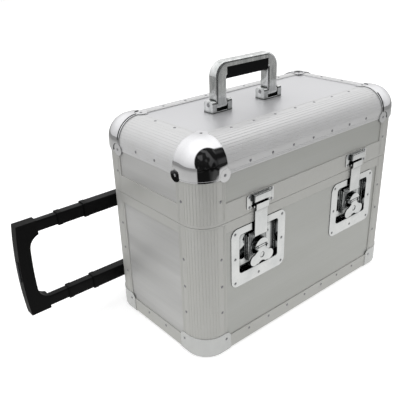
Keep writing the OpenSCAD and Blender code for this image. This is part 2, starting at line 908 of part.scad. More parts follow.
module latch_dish() {
    rec = [recess_w, recess_h];
    difference() {
        union() {
            translate([0, 0, dish_z]) in_depth(face_y - dish_t, face_y)
                round_rect(dish_w, dish_h, 13);
            translate([0, 0, recess_z]) in_depth(face_y - dish_t / 2, dish_floor + dish_t)
                round_rect(rec[0] + 2 * dish_t, rec[1] + 2 * dish_t, 6);
        }
        translate([0, 0, recess_z]) in_depth(-5, dish_floor) round_rect(rec[0], rec[1], 5);
        translate([0, 0, hub_z]) rotate([-90, 0, 0])
            cylinder(r = spindle_r + pin_fit, h = 30, $fn = small);
    }
    // guides beside the carrier
    for (side = [-1, 1])
        translate([side * (carrier_w / 2 + fit + guide_t / 2) - guide_t / 2, carrier_y,
                   recess_z - recess_h / 2 + 12])
            cube([guide_t, dish_floor - carrier_y, recess_h - 24]);
}

module latch_dishes() {
    color("gainsboro") for (x = [left_latch_x, right_latch_x]) at_latch(x) latch_dish();
}

// Places of a dish's screws, about the middle of the dish
function dish_screws() = [
    [-1, 1], [1, 1], [-1, 0], [1, 0], [-1, -1], [1, -1], [0, -1]
];

// The hub: a disc with two ears for the wing, a raised face above the wing, an eccentric cam and
// a spindle in the dish
module latch_hub() {
    wing_axis = wing_y + wing_t / 2;
    difference() {
        union() {
            translate([0, disc_y, hub_z]) rotate([-90, 0, 0])
                cylinder(r = disc_r, h = disc_t, $fn = smooth);
            translate([0, cam_y, hub_z - cam_off]) rotate([-90, 0, 0])
                cylinder(r = cam_r, h = cam_t, $fn = small);
            translate([0, cam_y, hub_z]) rotate([-90, 0, 0])
                cylinder(r = spindle_r, h = dish_floor + dish_t - cam_y, $fn = small);
            for (side = [-1, 1]) translate([side * (ear_x + ear_t / 2), 0, hub_z])
                in_width(ear_t) {
                    translate([wing_axis, 0]) circle(r = ear_r, $fn = small);
                    translate([wing_axis, -ear_r]) square([disc_y - wing_axis, 2 * ear_r]);
                }
            intersection() {
                translate([0, wing_y + 0.3, hub_z]) rotate([-90, 0, 0])
                    cylinder(r = disc_r - 0.5, h = disc_y - wing_y, $fn = smooth);
                translate([-disc_r, wing_y - 1, hub_z + ear_r + 1.2]) cube(2 * disc_r);
            }
        }
        translate([-30, wing_axis, hub_z]) rotate([0, 90, 0])
            cylinder(r = wing_pin_r + pin_fit, h = 60, $fn = small);
    }
}

// The butterfly wing hangs from two short trunnions and spreads into two lobes
module latch_wing() {
    neck = ear_x - fit;
    lobe_x = wing_w / 2 - lobe_r;
    lobe_z = -wing_l + lobe_r;
    translate([0, 0, hub_z]) {
        difference() {
            in_depth(wing_y, wing_y + wing_t) union() {
                translate([-neck, -9]) square([2 * neck, 12.5]);
                polygon([[-neck, -5], [-wing_w / 2 + 1, lobe_z + 4], [-wing_w / 2 + 1, lobe_z],
                         [wing_w / 2 - 1, lobe_z], [wing_w / 2 - 1, lobe_z + 4], [neck, -5]]);
                for (side = [-1, 1]) translate([side * lobe_x, lobe_z])
                    circle(r = lobe_r, $fn = small);
                translate([-lobe_x, -wing_l + 1]) square([2 * lobe_x, lobe_r]);
            }
            // a shallow waist between the lobes, and a finger dimple
            translate([0, wing_y - 1, -wing_l - 6]) rotate([-90, 0, 0])
                cylinder(r = 10, h = wing_t + 2, $fn = small);
            translate([0, wing_y - 0.01, -14]) rotate([-90, 0, 0])
                cylinder(r = 5, h = 0.8, $fn = small);
        }
        translate([-ear_x - ear_t, wing_y + wing_t / 2, 0]) rotate([0, 90, 0])
            cylinder(r = wing_pin_r, h = 2 * (ear_x + ear_t), $fn = small);
    }
}

// The carrier slides between the guides. The cam works in its window, and its ears hold the hook
module latch_carrier() {
    cam_z = hub_z - cam_off;
    win_w = 2 * (cam_r + cam_off + window_slack);
    win_h = 2 * (cam_r + window_slack);
    low = cam_z - win_h / 2 - 4;
    high = hook_pivot_z + hook_eye_r;
    ear_out = hook_ear_x + hook_ear_t;
    difference() {
        union() {
            in_depth(carrier_y, carrier_y + carrier_t)
                translate([-carrier_w / 2, low]) square([carrier_w, high - low]);
            for (side = [-1, 1]) translate([side * (hook_ear_x + hook_ear_t / 2), 0, 0])
                in_width(hook_ear_t) {
                    translate([hook_pivot_y, hook_pivot_z]) circle(r = hook_eye_r, $fn = small);
                    translate([hook_pivot_y, hook_pivot_z - hook_eye_r])
                        square([carrier_y + carrier_t - hook_pivot_y, 2 * hook_eye_r]);
                }
        }
        in_depth(carrier_y - 1, carrier_y + carrier_t + 1)
            translate([-win_w / 2, cam_z - win_h / 2]) square([win_w, win_h]);
        translate([-ear_out - 1, hook_pivot_y, hook_pivot_z]) rotate([0, 90, 0])
            cylinder(r = hook_pin_r, h = 2 * ear_out + 2, $fn = small);
    }
}

module hook_pin() {
    length = 2 * (hook_ear_x + hook_ear_t);
    translate([-length / 2, hook_pivot_y, hook_pivot_z]) rotate([0, 90, 0])
        cylinder(r = hook_pin_r, h = length, $fn = small);
}

// The hook strap: an eye on the pin, a jog over the seam and a turned-in lip at the top
module latch_hook() {
    out = strap_y - hook_jog;
    jog_z = seam_z + 3;
    lip_y = -keeper_t - 0.4;
    difference() {
        union() {
            translate([-strap_w / 2, hook_pivot_y, hook_pivot_z]) rotate([0, 90, 0])
                cylinder(r = hook_eye_r, h = strap_w, $fn = small);
            in_width(strap_w) polygon([
                [strap_y + 0.05, hook_pivot_z], [strap_y + 0.05, jog_z - 3], [out, jog_z],
                [out, hook_top], [lip_y, hook_top], [lip_y, hook_top - 3.4],
                [lip_y - 1, hook_top - 3.4], [lip_y - 1, hook_top - strap_t],
                [out + strap_t, hook_top - strap_t], [out + strap_t, jog_z],
                [strap_y + strap_t, jog_z - 3], [strap_y + strap_t, hook_pivot_z + 0.8]
            ]);
        }
        translate([-strap_w, hook_pivot_y, hook_pivot_z]) rotate([0, 90, 0])
            cylinder(r = hook_pin_r + pin_fit, h = 2 * strap_w, $fn = small);
    }
}

// The keeper: a plate with an upturned catch under the hook's lip, and a raised stop above it
module latch_keeper() {
    lip_y = -keeper_t - 0.4;
    catch_out = lip_y - 1 - 0.4;
    catch_low = keeper_z - keeper_h / 2 + 0.5;
    stop_low = hook_top + hook_lift + 0.6;
    stop_high = keeper_z + keeper_h / 2 - 0.5;
    in_depth(-keeper_t, 0) translate([0, keeper_z]) round_rect(keeper_w, keeper_h, 3);
    in_width(catch_w) {
        polygon([
            [-0.1, catch_low], [catch_out - 1.2, catch_low],
            [catch_out - 1.2, hook_top - strap_t - 0.4], [catch_out, hook_top - strap_t - 0.4],
            [catch_out, hook_top - 3.8], [-0.1, hook_top - 3.8]
        ]);
        polygon([
            [-0.1, stop_low], [-5.9, stop_low + 0.2], [-6.7, stop_low + 1.1],
            [-6.8, stop_high - 2], [-6, stop_high - 0.5], [-0.1, stop_high]
        ]);
    }
}

module latch_keepers() {
    color("gainsboro") for (x = [left_latch_x, right_latch_x]) at_latch(x) latch_keeper();
}

module left_latch_hub() { color("lightgray") at_latch(left_latch_x) latch_hub(); }
module left_latch_wing() { color("white") at_latch(left_latch_x) latch_wing(); }
module left_latch_carrier() { color("silver") at_latch(left_latch_x) latch_carrier(); }
module left_latch_hook() { color("white") at_latch(left_latch_x) latch_hook(); }
module left_hook_pin() { color("gray") at_latch(left_latch_x) hook_pin(); }
module right_latch_hub() { color("lightgray") at_latch(right_latch_x) latch_hub(); }
module right_latch_wing() { color("white") at_latch(right_latch_x) latch_wing(); }
module right_latch_carrier() { color("silver") at_latch(right_latch_x) latch_carrier(); }
module right_latch_hook() { color("white") at_latch(right_latch_x) latch_hook(); }
module right_hook_pin() { color("gray") at_latch(right_latch_x) hook_pin(); }

// Carry handle

module at_legs() {
    for (side = [-1, 1]) translate([-handle_off + side * leg_x, 0, 0]) children();
}

module handle_brackets() {
    top = lid_face + bracket_h;
    color("white") at_legs() difference() {
        in_width(bracket_w) union() {
            translate([-bracket_d / 2, lid_face]) square([bracket_d, bracket_h - 5]);
            translate([-bracket_d / 2 + 5, lid_face]) square([bracket_d - 10, bracket_h]);
            for (y = [-1, 1]) translate([y * (bracket_d / 2 - 5), top - 5])
                circle(r = 5, $fn = small);
        }
        translate([-leg_w / 2 - slot_gap, -bracket_d, lid_face + bracket_foot])
            cube([leg_w + 2 * slot_gap, 2 * bracket_d, 2 * bracket_h]);
        translate([-bracket_w, 0, handle_pin_z]) rotate([0, 90, 0])
            cylinder(r = handle_pin_r, h = 2 * bracket_w, $fn = small);
    }
}

module handle_pins() {
    color("gray") at_legs() translate([-bracket_w / 2, 0, handle_pin_z]) rotate([0, 90, 0])
        cylinder(r = handle_pin_r, h = bracket_w, $fn = small);
}

// The handle is a bar of rounded section, bent twice, and cut away under its top for the rubber
module carry_handle() {
    top = case_h + handle_h;
    bend_z = top - bend_r;
    inner_w = handle_w - 2 * leg_w;
    color("white") translate([-handle_off, 0, 0]) difference() {
        union() {
            for (side = [-1, 1]) {
                translate([side * leg_x, 0, handle_pin_z])
                    linear_extrude(bend_z - handle_pin_z) round_rect(leg_w, leg_d, leg_round);
                translate([side * leg_x, 0, handle_pin_z]) in_width(leg_w)
                    circle(r = leg_d / 2, $fn = small);
            }
            for (turn = [0, 1]) mirror([turn, 0, 0])
                translate([handle_w / 2 - bend_r, 0, bend_z]) rotate([90, 0, 0])
                    rotate_extrude(angle = 90, $fn = smooth) translate([bend_r - leg_w / 2, 0])
                        round_rect(leg_w, leg_d, leg_round);
            translate([0, 0, top - leg_w / 2]) in_width(handle_w - 2 * bend_r)
                round_rect(leg_d, leg_w, leg_round);
        }
        translate([-inner_w / 2, -leg_d, bend_z]) cube([inner_w, 2 * leg_d, bend_r - bar_t]);
        translate([-handle_w, 0, handle_pin_z]) rotate([0, 90, 0])
            cylinder(r = handle_pin_r + pin_fit, h = 2 * handle_w, $fn = small);
    }
}

module carry_handle_grip() {
    top = case_h + handle_h - bar_t;
    soft_r = 4;
    d = leg_d - 1;
    color("black") translate([-handle_off, 0, 0]) in_width(handle_w - 2 * leg_w) {
        translate([-d / 2, top - rubber_h + soft_r]) square([d, rubber_h - soft_r]);
        translate([-d / 2 + soft_r, top - rubber_h]) square([d - 2 * soft_r, rubber_h]);
        for (y = [-1, 1]) translate([y * (d / 2 - soft_r), top - rubber_h + soft_r])
            circle(r = soft_r, $fn = small);
    }
}

// Screws: the keepers' and the handle brackets' in the lid
module lid_screws() {
    color("dimgray") {
        for (x = [left_latch_x, right_latch_x], sx = [-1, 1], sz = [-1, 1])
            front_at(x + sx * (keeper_w / 2 - 5), keeper_z + sz * (keeper_h / 2 - 2.9), keeper_t)
                rivet();
        at_legs() for (x = [-1, 1])
            translate([x * bracket_w * 0.36, 0, case_h - skin_t - board_t])
                mirror([0, 0, 1]) rivet();
    }
}

// Trolley handle

// The two rails, with the children's length along +x
module at_rails() {
    for (z = rail_zs) translate([0, rail_y, z]) children();
}

// A bar or a bore along +x of a rail's rounded section, grown by a distance
module rail_bar(x0, x1, grow) {
    translate([x0, 0, 0]) rotate([90, 0, 90]) linear_extrude(x1 - x0)
        round_rect(rail_d + 2 * grow, rail_h + 2 * grow, tube_corner);
}

// A tube whose outside is grown by a distance
module rail_tube(x0, x1, grow) {
    difference() {
        rail_bar(x0, x1, grow);
        rail_bar(x0 - 1, x1 + 1, grow - tube_t);
    }
}

// A collar round the outer end of a stage, with a lip in front of the tube
module rail_collar(x0, grow) {
    difference() {
        rail_bar(x0, x0 + collar_len, grow + collar_t);
        rail_bar(x0 + collar_lip, x0 + collar_len + 1, grow);
        rail_bar(x0 - 1, x0 + collar_len + 1, grow - tube_t);
    }
}

module trolley_outer_tubes() {
    color("black") at_rails() rail_tube(mouth_x + bracket_wall, tube_end_x, step);
}

module trolley_stage_1() {
    color("black") at_rails() rail_tube(end_1 + collar_lip, end_1 + stage_len, 0);
}

module trolley_collars_1() {
    color("black") at_rails() rail_collar(end_1, 0);
}

module trolley_stage_2() {
    color("black") at_rails() rail_tube(end_2 + collar_lip, end_2 + stage_len, -step);
}

module trolley_collars_2() {
    color("black") at_rails() rail_collar(end_2, -step);
}

module trolley_stage_3() {
    color("black") at_rails()
        rail_tube(end_3 - socket_depth, end_3 + stage_travel + stage_lap, -2 * step);
}

// A bracket across both rails: a plate on the case's back with a block round each tube
module rail_bracket(x0, x1) {
    out = rail_y + outer_d / 2 + bracket_wall;
    translate([x0, 0, 0]) rotate([90, 0, 90]) linear_extrude(x1 - x0) {
        translate([back_face, rail_zs[0] - block_h / 2])
            square([rail_plate_t, rail_pitch + block_h]);
        for (z = rail_zs) {
            translate([back_face, z - block_h / 2]) square([out - back_face - 3, block_h]);
            translate([out - 3 - 0.01, z - block_h / 2 + 3]) square([3.01, block_h - 6]);
            for (side = [-1, 1]) translate([out - 3, z + side * (block_h / 2 - 3)])
                circle(r = 3, $fn = small);
        }
    }
}

module trolley_mouth_bracket() {
    color("black") difference() {
        rail_bracket(mouth_x, mouth_x + bracket_x);
        at_rails() {
            rail_bar(mouth_x + bracket_wall, mouth_x + bracket_x + 1, step);
            rail_bar(mouth_x - 1, mouth_x + bracket_wall + 1, tube_gap);
        }
    }
}

module trolley_end_bracket() {
    color("black") difference() {
        rail_bracket(tube_end_x - bracket_x + bracket_wall, tube_end_x + bracket_wall);
        at_rails() rail_bar(tube_end_x - bracket_x, tube_end_x, step);
    }
}

// The grip: a bowed bar with a socket at each end, and a slot for the button
module trolley_grip() {
    bow_r = (pow(grip_h / 2, 2) + pow(grip_bow, 2)) / (2 * grip_bow);
    socket_h = rail_h + 1;
    inner_h = rail_pitch - socket_h;
    // where a corner's arc meets the bowed inner face of the bar
    corner_z = inner_h / 2 - grip_fillet;
    corner_x = bow_r - grip_bow + grip_t - sqrt(pow(bow_r, 2) - pow(corner_z, 2)) + 0.1;
    slot_depth = button_travel + 8;
    color("black") translate([grip_out, rail_y, rail_mid_z]) difference() {
        in_depth(-grip_d / 2, grip_d / 2) difference() {
            union() {
                translate([0, -grip_h / 2]) square([socket_l, grip_h]);
                intersection() {
                    translate([bow_r - grip_bow, 0]) circle(r = bow_r, $fn = 360);
                    translate([-grip_bow - 1, -grip_h / 2]) square([grip_bow + 2, grip_h]);
                }
            }
            // the hand space is bowed like the bar, with round corners at the sockets
            difference() {
                intersection() {
                    translate([bow_r - grip_bow + grip_t, 0]) circle(r = bow_r, $fn = 360);
                    translate([0, -inner_h / 2]) square([socket_l + 1, inner_h]);
                }
                for (side = [-1, 1]) difference() {
                    translate([0, side > 0 ? corner_z : -corner_z - 2 * grip_fillet])
                        square([corner_x + grip_fillet, 2 * grip_fillet]);
                    translate([corner_x + grip_fillet, side * corner_z])
                        circle(r = grip_fillet, $fn = smooth);
                }
            }
        }
        for (side = [-1, 1]) translate([0, 0, side * rail_pitch / 2])
            rail_bar(socket_l - socket_depth, socket_l + 1, -2 * step);
        translate([-grip_bow - 1, 0, 0]) rotate([90, 0, 90]) linear_extrude(slot_depth + 1)
            round_rect(button_w + 2 * fit, button_l + 2 * fit, 2);
    }
}

module trolley_button() {
    color("black") translate([grip_out - grip_bow - button_proud, rail_y, rail_mid_z])
        rotate([90, 0, 90]) linear_extrude(button_t) round_rect(button_w, button_l, 1.7);
}

// Screws: the dishes', the trolley brackets' and the wheel housings' in the base
module base_screws() {
    inset_x = dish_w / 2 - dish_screw_in;
    inset_z = dish_h / 2 - dish_screw_in;
    plate_y = rail_plate_t - skin_t;
    end_x = tube_end_x + bracket_wall - bracket_x / 2;
    color("dimgray") {
        for (x = [left_latch_x, right_latch_x], p = dish_screws())
            front_at(x + p[0] * inset_x, dish_z + p[1] * inset_z, dish_t - skin_t) rivet();
        for (x = [mouth_x + bracket_x / 2, end_x], z = [-1, 1])
            back_at(x, rail_mid_z + z * (rail_pitch / 2 - outer_h / 2 - rail_screw_in), plate_y)
                screw_head();
        for (z = wheel_zs) {
            back_at(case_w / 2 - housing_x + housing_screw_in, z, 0) screw_head();
            side_at(1, case_d / 2 - housing_y + housing_screw_in, z, 0) screw_head();
        }
    }
}

// Wheels

module wheel_housings() {
    color("black") difference() {
        intersection() {
            linear_extrude(2 * case_h) outline(0);
            wheel_notches();
        }
        for (z = wheel_zs) translate([wheel_x, wheel_y, z]) {
            cylinder(r = wheel_r + wheel_swing, h = wheel_w + 2 * wheel_swing, center = true,
                     $fn = smooth);
            // the mouth of the wheel well opens to the side and to the back
            translate([0, 0, -wheel_w / 2 - wheel_swing])
                cube([2 * wheel_r, 2 * wheel_r, wheel_w + 2 * wheel_swing]);
            cylinder(r = axle_r, h = housing_h + 2, center = true, $fn = small);
        }
    }
}

module wheel_axles() {
    color("gray") for (z = wheel_zs) translate([wheel_x, wheel_y, z])
        cylinder(r = axle_r, h = housing_h, center = true, $fn = small);
}

// A hub with a raised boss and five lightening holes
module wheel_hub(z) {
    hub_r = wheel_r - tyre_t;
    boss_w = wheel_w + 2 * (wheel_swing - fit);
    translate([wheel_x, wheel_y, z]) difference() {
        union() {
            cylinder(r = hub_r, h = wheel_w - 6, center = true, $fn = smooth);
            cylinder(r = axle_r + 4, h = boss_w, center = true, $fn = small);
            difference() {
                cylinder(r = hub_r, h = wheel_w, center = true, $fn = smooth);
                cylinder(r = hub_r - 2.5, h = wheel_w + 1, center = true, $fn = smooth);
            }
        }
        cylinder(r = axle_r + pin_fit, h = 2 * wheel_w, center = true, $fn = small);
        for (i = [0:4]) rotate([0, 0, 72 * i]) translate([(axle_r + 4 + hub_r - 2.5) / 2, 0, 0])
            cylinder(r = 2.8, h = 2 * wheel_w, center = true, $fn = 24);
    }
}

// The tyre's tread is flat with a round shoulder on each side
module wheel_tyre(z) {
    hub_r = wheel_r - tyre_t;
    shoulder = 4;
    translate([wheel_x, wheel_y, z]) rotate_extrude($fn = smooth) {
        translate([hub_r, -wheel_w / 2]) square([tyre_t - shoulder, wheel_w]);
        translate([hub_r, -wheel_w / 2 + shoulder]) square([tyre_t, wheel_w - 2 * shoulder]);
        for (side = [-1, 1])
            translate([wheel_r - shoulder, side * (wheel_w / 2 - shoulder)])
                intersection() {
                    circle(r = shoulder, $fn = small);
                    translate([0, -shoulder]) square([shoulder, 2 * shoulder]);
                }
    }
}

module lower_wheel_hub() { color("dimgray") wheel_hub(wheel_zs[0]); }
module lower_wheel_tyre() { color("black") wheel_tyre(wheel_zs[0]); }
module upper_wheel_hub() { color("dimgray") wheel_hub(wheel_zs[1]); }
module upper_wheel_tyre() { color("black") wheel_tyre(wheel_zs[1]); }

base_front_panel();
base_back_panel();
base_side_panels();
base_bottom_panel();
base_corner_profiles();
base_bottom_profiles();
base_rim();
base_corner_caps();
base_rivets();
base_lining();
base_screws();
side_feet();
lid_top_panel();
lid_front_panel();
lid_back_panel();
lid_side_panels();
lid_edge_profiles();
lid_corner_profiles();
lid_rim();
ball_corners();
lid_rivets();
lid_lining();
lid_screws();
hinge_base_leaves();
hinge_lid_leaves();
hinge_pins();
latch_dishes();
latch_keepers();
left_latch_hub();
left_latch_wing();
left_latch_carrier();
left_latch_hook();
left_hook_pin();
right_latch_hub();
right_latch_wing();
right_latch_carrier();
right_latch_hook();
right_hook_pin();
handle_brackets();
handle_pins();
carry_handle();
carry_handle_grip();
trolley_mouth_bracket();
trolley_end_bracket();
trolley_outer_tubes();
trolley_stage_1();
trolley_collars_1();
trolley_stage_2();
trolley_collars_2();
trolley_stage_3();
trolley_grip();
trolley_button();
wheel_housings();
wheel_axles();
lower_wheel_hub();
lower_wheel_tyre();
upper_wheel_hub();
upper_wheel_tyre();
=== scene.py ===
# %% [markdown]
# A silver record case on a plain floor: ridged aluminium edges, chromed ball corners, two twist
# latches, a carry handle and a black pull-out handle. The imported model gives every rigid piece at
# its real size, so this lesson adds what the eye reads first: finishes, softened edges and light.

# %% Load the frame
import json
import math

import bpy
from mathutils import Matrix, Vector


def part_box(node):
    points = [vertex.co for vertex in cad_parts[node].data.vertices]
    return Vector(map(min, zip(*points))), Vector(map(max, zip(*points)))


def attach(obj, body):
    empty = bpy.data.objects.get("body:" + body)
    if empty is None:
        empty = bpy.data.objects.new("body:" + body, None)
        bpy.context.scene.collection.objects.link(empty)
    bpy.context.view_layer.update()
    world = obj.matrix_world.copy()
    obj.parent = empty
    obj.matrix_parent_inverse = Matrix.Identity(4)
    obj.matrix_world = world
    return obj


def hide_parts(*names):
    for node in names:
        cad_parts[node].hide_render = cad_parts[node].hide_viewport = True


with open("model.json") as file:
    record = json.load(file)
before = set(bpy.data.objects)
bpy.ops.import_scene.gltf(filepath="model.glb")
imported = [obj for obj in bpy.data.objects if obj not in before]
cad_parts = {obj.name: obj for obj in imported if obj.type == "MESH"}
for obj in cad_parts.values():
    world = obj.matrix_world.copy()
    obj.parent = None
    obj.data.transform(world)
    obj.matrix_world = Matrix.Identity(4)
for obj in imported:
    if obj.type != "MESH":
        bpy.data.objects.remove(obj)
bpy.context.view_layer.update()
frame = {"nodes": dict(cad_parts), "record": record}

MM = 0.001

# %% [markdown]
# The photograph was taken from the left front, a little above the lid. A camera can be placed by
# eye, but here its place and turn were worked out from the case's own straight edges, which is
# surer. So they are plain numbers: where it stands, which way it looks round from the back
# (azimuth), how far it looks down (elevation) and how far it is tilted (roll).

# %% Camera
CAMERA_PLACE = (-0.6480, -0.6280, 0.5887)
AZIMUTH = math.radians(39.40)
ELEVATION = math.radians(25.245)
ROLL = math.radians(-2.004)

look = Vector((math.sin(AZIMUTH) * math.cos(ELEVATION),
               math.cos(AZIMUTH) * math.cos(ELEVATION), -math.sin(ELEVATION)))
level = Vector((math.cos(AZIMUTH), -math.sin(AZIMUTH), 0))
upright = level.cross(look)
right = level * math.cos(ROLL) + upright * math.sin(ROLL)
up = upright * math.cos(ROLL) - level * math.sin(ROLL)

lens = bpy.data.cameras.new("camera")
lens.lens = 49.73
lens.sensor_width = 36
camera = bpy.data.objects.new("camera", lens)
bpy.context.collection.objects.link(camera)
turn = Matrix((right, up, -look)).transposed().to_4x4()
camera.matrix_world = Matrix.Translation(CAMERA_PLACE) @ turn
bpy.context.scene.camera = camera
bpy.context.scene.view_settings.view_transform = "Standard"
print("camera looks along", [round(c, 3) for c in look])

# %% [markdown]
# Every finish here is built from shader nodes, and two small helpers keep that short. Colours are
# written as the hex values a designer reads off a screen, and one function turns them into the
# linear numbers that Blender mixes. The other adds one node, sets its values and links its inputs.


# %% Colour and node helpers
def colour(hex_value):
    channels = [int(hex_value[i:i + 2], 16) / 255 for i in (1, 3, 5)]
    linear = [c / 12.92 if c <= 0.04045 else ((c + 0.055) / 1.055) ** 2.4 for c in channels]
    return (*linear, 1.0)


def add_node(tree, kind, inputs=None, **settings):
    node = tree.nodes.new(kind)
    for name, value in settings.items():
        setattr(node, name, value)
    for name, value in (inputs or {}).items():
        if isinstance(value, bpy.types.NodeSocket):
            tree.links.new(value, node.inputs[name])
        else:
            node.inputs[name].default_value = value
    return node


print("mid grey #808080 is", round(colour("#808080")[0], 3), "in linear light")

# %% [markdown]
# A finish starts as one shader with the plain values of its metal or plastic. No real surface is
# evenly coloured or evenly worn, so noise then varies both. Pictures of wear would do that too,
# but noise has no seams and no fixed resolution. It is laid on the piece's own coordinates, so it
# stays put when the piece moves. Its size is given in millimetres for each axis: a long size along
# one axis and a short one across it draws lines.


# %% Finish helpers
def new_finish(name, base, metallic, roughness, **values):
    material = bpy.data.materials.new(name)
    material.use_nodes = True
    shader = material.node_tree.nodes["Principled BSDF"]
    shader.inputs["Base Color"].default_value = colour(base)
    shader.inputs["Metallic"].default_value = metallic
    shader.inputs["Roughness"].default_value = roughness
    for socket, value in values.items():
        shader.inputs[socket.replace("_", " ")].default_value = value
    return material, material.node_tree, shader


def pattern(tree, size_mm, detail=2.0, rough=0.5):
    """Noise whose clouds measure about size_mm along x, y and z."""
    place = add_node(tree, "ShaderNodeTexCoord")
    stretch = add_node(tree, "ShaderNodeMapping",
                       {"Vector": place.outputs["Object"],
                        "Scale": [1000 / size for size in size_mm]})  # clouds to a metre
    return add_node(tree, "ShaderNodeTexNoise",
                    {"Vector": stretch.outputs["Vector"], "Scale": 1.0, "Detail": detail,
                     "Roughness": rough}).outputs["Fac"]


NOISE_LOW, NOISE_HIGH = 0.3, 0.7  # noise keeps near its middle: nearly all of it lies in here


def uneven(tree, shader, stain, dark, light, wear, shiny, dull):
    """One noise takes the colour from dark to light, and one the roughness from shiny to dull."""
    ramp = add_node(tree, "ShaderNodeValToRGB", {"Fac": stain})
    for stop, place, shade in zip(ramp.color_ramp.elements, (NOISE_LOW, NOISE_HIGH),
                                  (dark, light)):
        stop.position = place
        stop.color = colour(shade)
    rough = add_node(tree, "ShaderNodeMapRange",
                     {"Value": wear, "From Min": NOISE_LOW, "From Max": NOISE_HIGH,
                      "To Min": shiny, "To Max": dull})
    tree.links.new(ramp.outputs["Color"], shader.inputs["Base Color"])
    tree.links.new(rough.outputs["Result"], shader.inputs["Roughness"])
    return ramp.outputs["Color"]


print("noise counts from", NOISE_LOW, "to", NOISE_HIGH)

# %% [markdown]
# The boards are plywood faced with a thin silver laminate. To the eye it is half metal and half
# lacquer: satin, with a fine brushing along the case. The sheet is never quite flat, so slow waves
# bend its reflections into soft bands, and painted light bands in its colour add a little to them,
# most on the ends. Real waves could be modelled, but they are too shallow to show as a shape, so
# bump draws them. The real brush lines are 0.2 mm apart. They are drawn 2 mm apart, as coarse as
# they need to be to show.


# %% Silver laminate
def laminate(name, dark, light, drift, wave_mm=6, dull=0.0):
    """Drift says how far slow clouds take the colour over from the brush lines, and wave_mm how
    deep the waves are drawn."""
    material, tree, shader = new_finish(name, light, 0.55, 0.36 + dull)
    brushing = pattern(tree, (333, 333, 2), 3.0)
    # painted light: these slow clouds lighten and darken the colour in broad bands that stand in
    # for reflections
    clouds = pattern(tree, (250, 250, 38.5), 2.0, 0.45)
    shade = add_node(tree, "ShaderNodeMix", {"Factor": drift, "A": brushing, "B": clouds})
    uneven(tree, shader, shade.outputs["Result"], dark, light, brushing, 0.32 + dull, 0.42 + dull)
    edges = add_node(tree, "ShaderNodeBevel", {"Radius": 0.6 * MM}, samples=6)
    waves = add_node(tree, "ShaderNodeBump",
                     {"Height": pattern(tree, (625, 625, 71.4), 1.0), "Strength": 0.6,
                      "Distance": wave_mm * MM, "Normal": edges.outputs["Normal"]})
    lines = add_node(tree, "ShaderNodeBump",
                     {"Height": brushing, "Strength": 0.05, "Distance": 0.3 * MM,
                      "Normal": waves.outputs["Normal"]})
    tree.links.new(lines.outputs["Normal"], shader.inputs["Normal"])
    return material


# satin and even, with brush lines that show only close by
side_laminate = laminate("silver laminate", "#B5B6B2", "#BEBFBC", drift=0.6)
# duller, with wide soft bands one above the other: bumped waves, and painted light in the colour
end_laminate = laminate("silver laminate on the ends", "#B9B9B8", "#D2D2D1", drift=0.75,
                        wave_mm=12, dull=0.12)
# paler: painted light, as the light falls straight on it
top_laminate = laminate("silver laminate with painted top light", "#CFCFD1", "#DADADC", drift=0.6)
print(len(bpy.data.materials), "materials so far")

# %% [markdown]
# The edge profiles are extruded aluminium, etched and anodised, which gives a broad satin sheen.
# Caps, hinges and screws are plated steel: the same cool grey, but smoother and so brighter where
# they catch the light. The ridges are real grooves in the mesh. Only two things are left to the
# material, patches of shine about 40 mm wide and the grain of the surface. The real grain is finer
# than 0.1 mm and is drawn 1.1 mm wide to show at all. The bevel node rounds the light on each
# edge. A bevel modifier would do it too, at the cost of many faces.


# %% Extruded and plated metal
def bare_metal(name, light, dark, roughness):
    material, tree, shader = new_finish(name, light, 0.5, roughness)
    wear = pattern(tree, (40, 40, 40), 4.0, 0.6)
    uneven(tree, shader, wear, dark, light, wear, roughness - 0.04, roughness + 0.06)
    edges = add_node(tree, "ShaderNodeBevel", {"Radius": 0.8 * MM}, samples=6)
    grain = add_node(tree, "ShaderNodeBump",
                     {"Height": pattern(tree, (1.11, 1.11, 1.11), 1.0), "Strength": 0.03,
                      "Distance": 0.1 * MM, "Normal": edges.outputs["Normal"]})
    tree.links.new(grain.outputs["Normal"], shader.inputs["Normal"])
    return material


# a broad, soft sheen that the ridges break into lines
aluminium = bare_metal("anodised aluminium extrusion", "#C8C8C5", "#C2C2BE", roughness=0.46)
# the same sheen, painted a shade lighter, as the lid's edges catch more light
lit_aluminium = bare_metal("anodised aluminium extrusion with painted light", "#DADADB", "#D5D5D5",
                              roughness=0.46)
# smooth, so that the light gathers in a clear streak
cap_metal = bare_metal("nickel-plated pressed steel", "#D2D3D2", "#CACBCA", roughness=0.22)
# as smooth, but greyer and a little cool
zinc_metal = bare_metal("zinc-plated steel", "#B9BBBB", "#A6A8A8", roughness=0.24)
# dark enough to read as small dots on the bright rims
dull_metal = bare_metal("dull plated fasteners", "#9A9A9C", "#86868A", roughness=0.30)
print(len(bpy.data.materials), "materials so far")
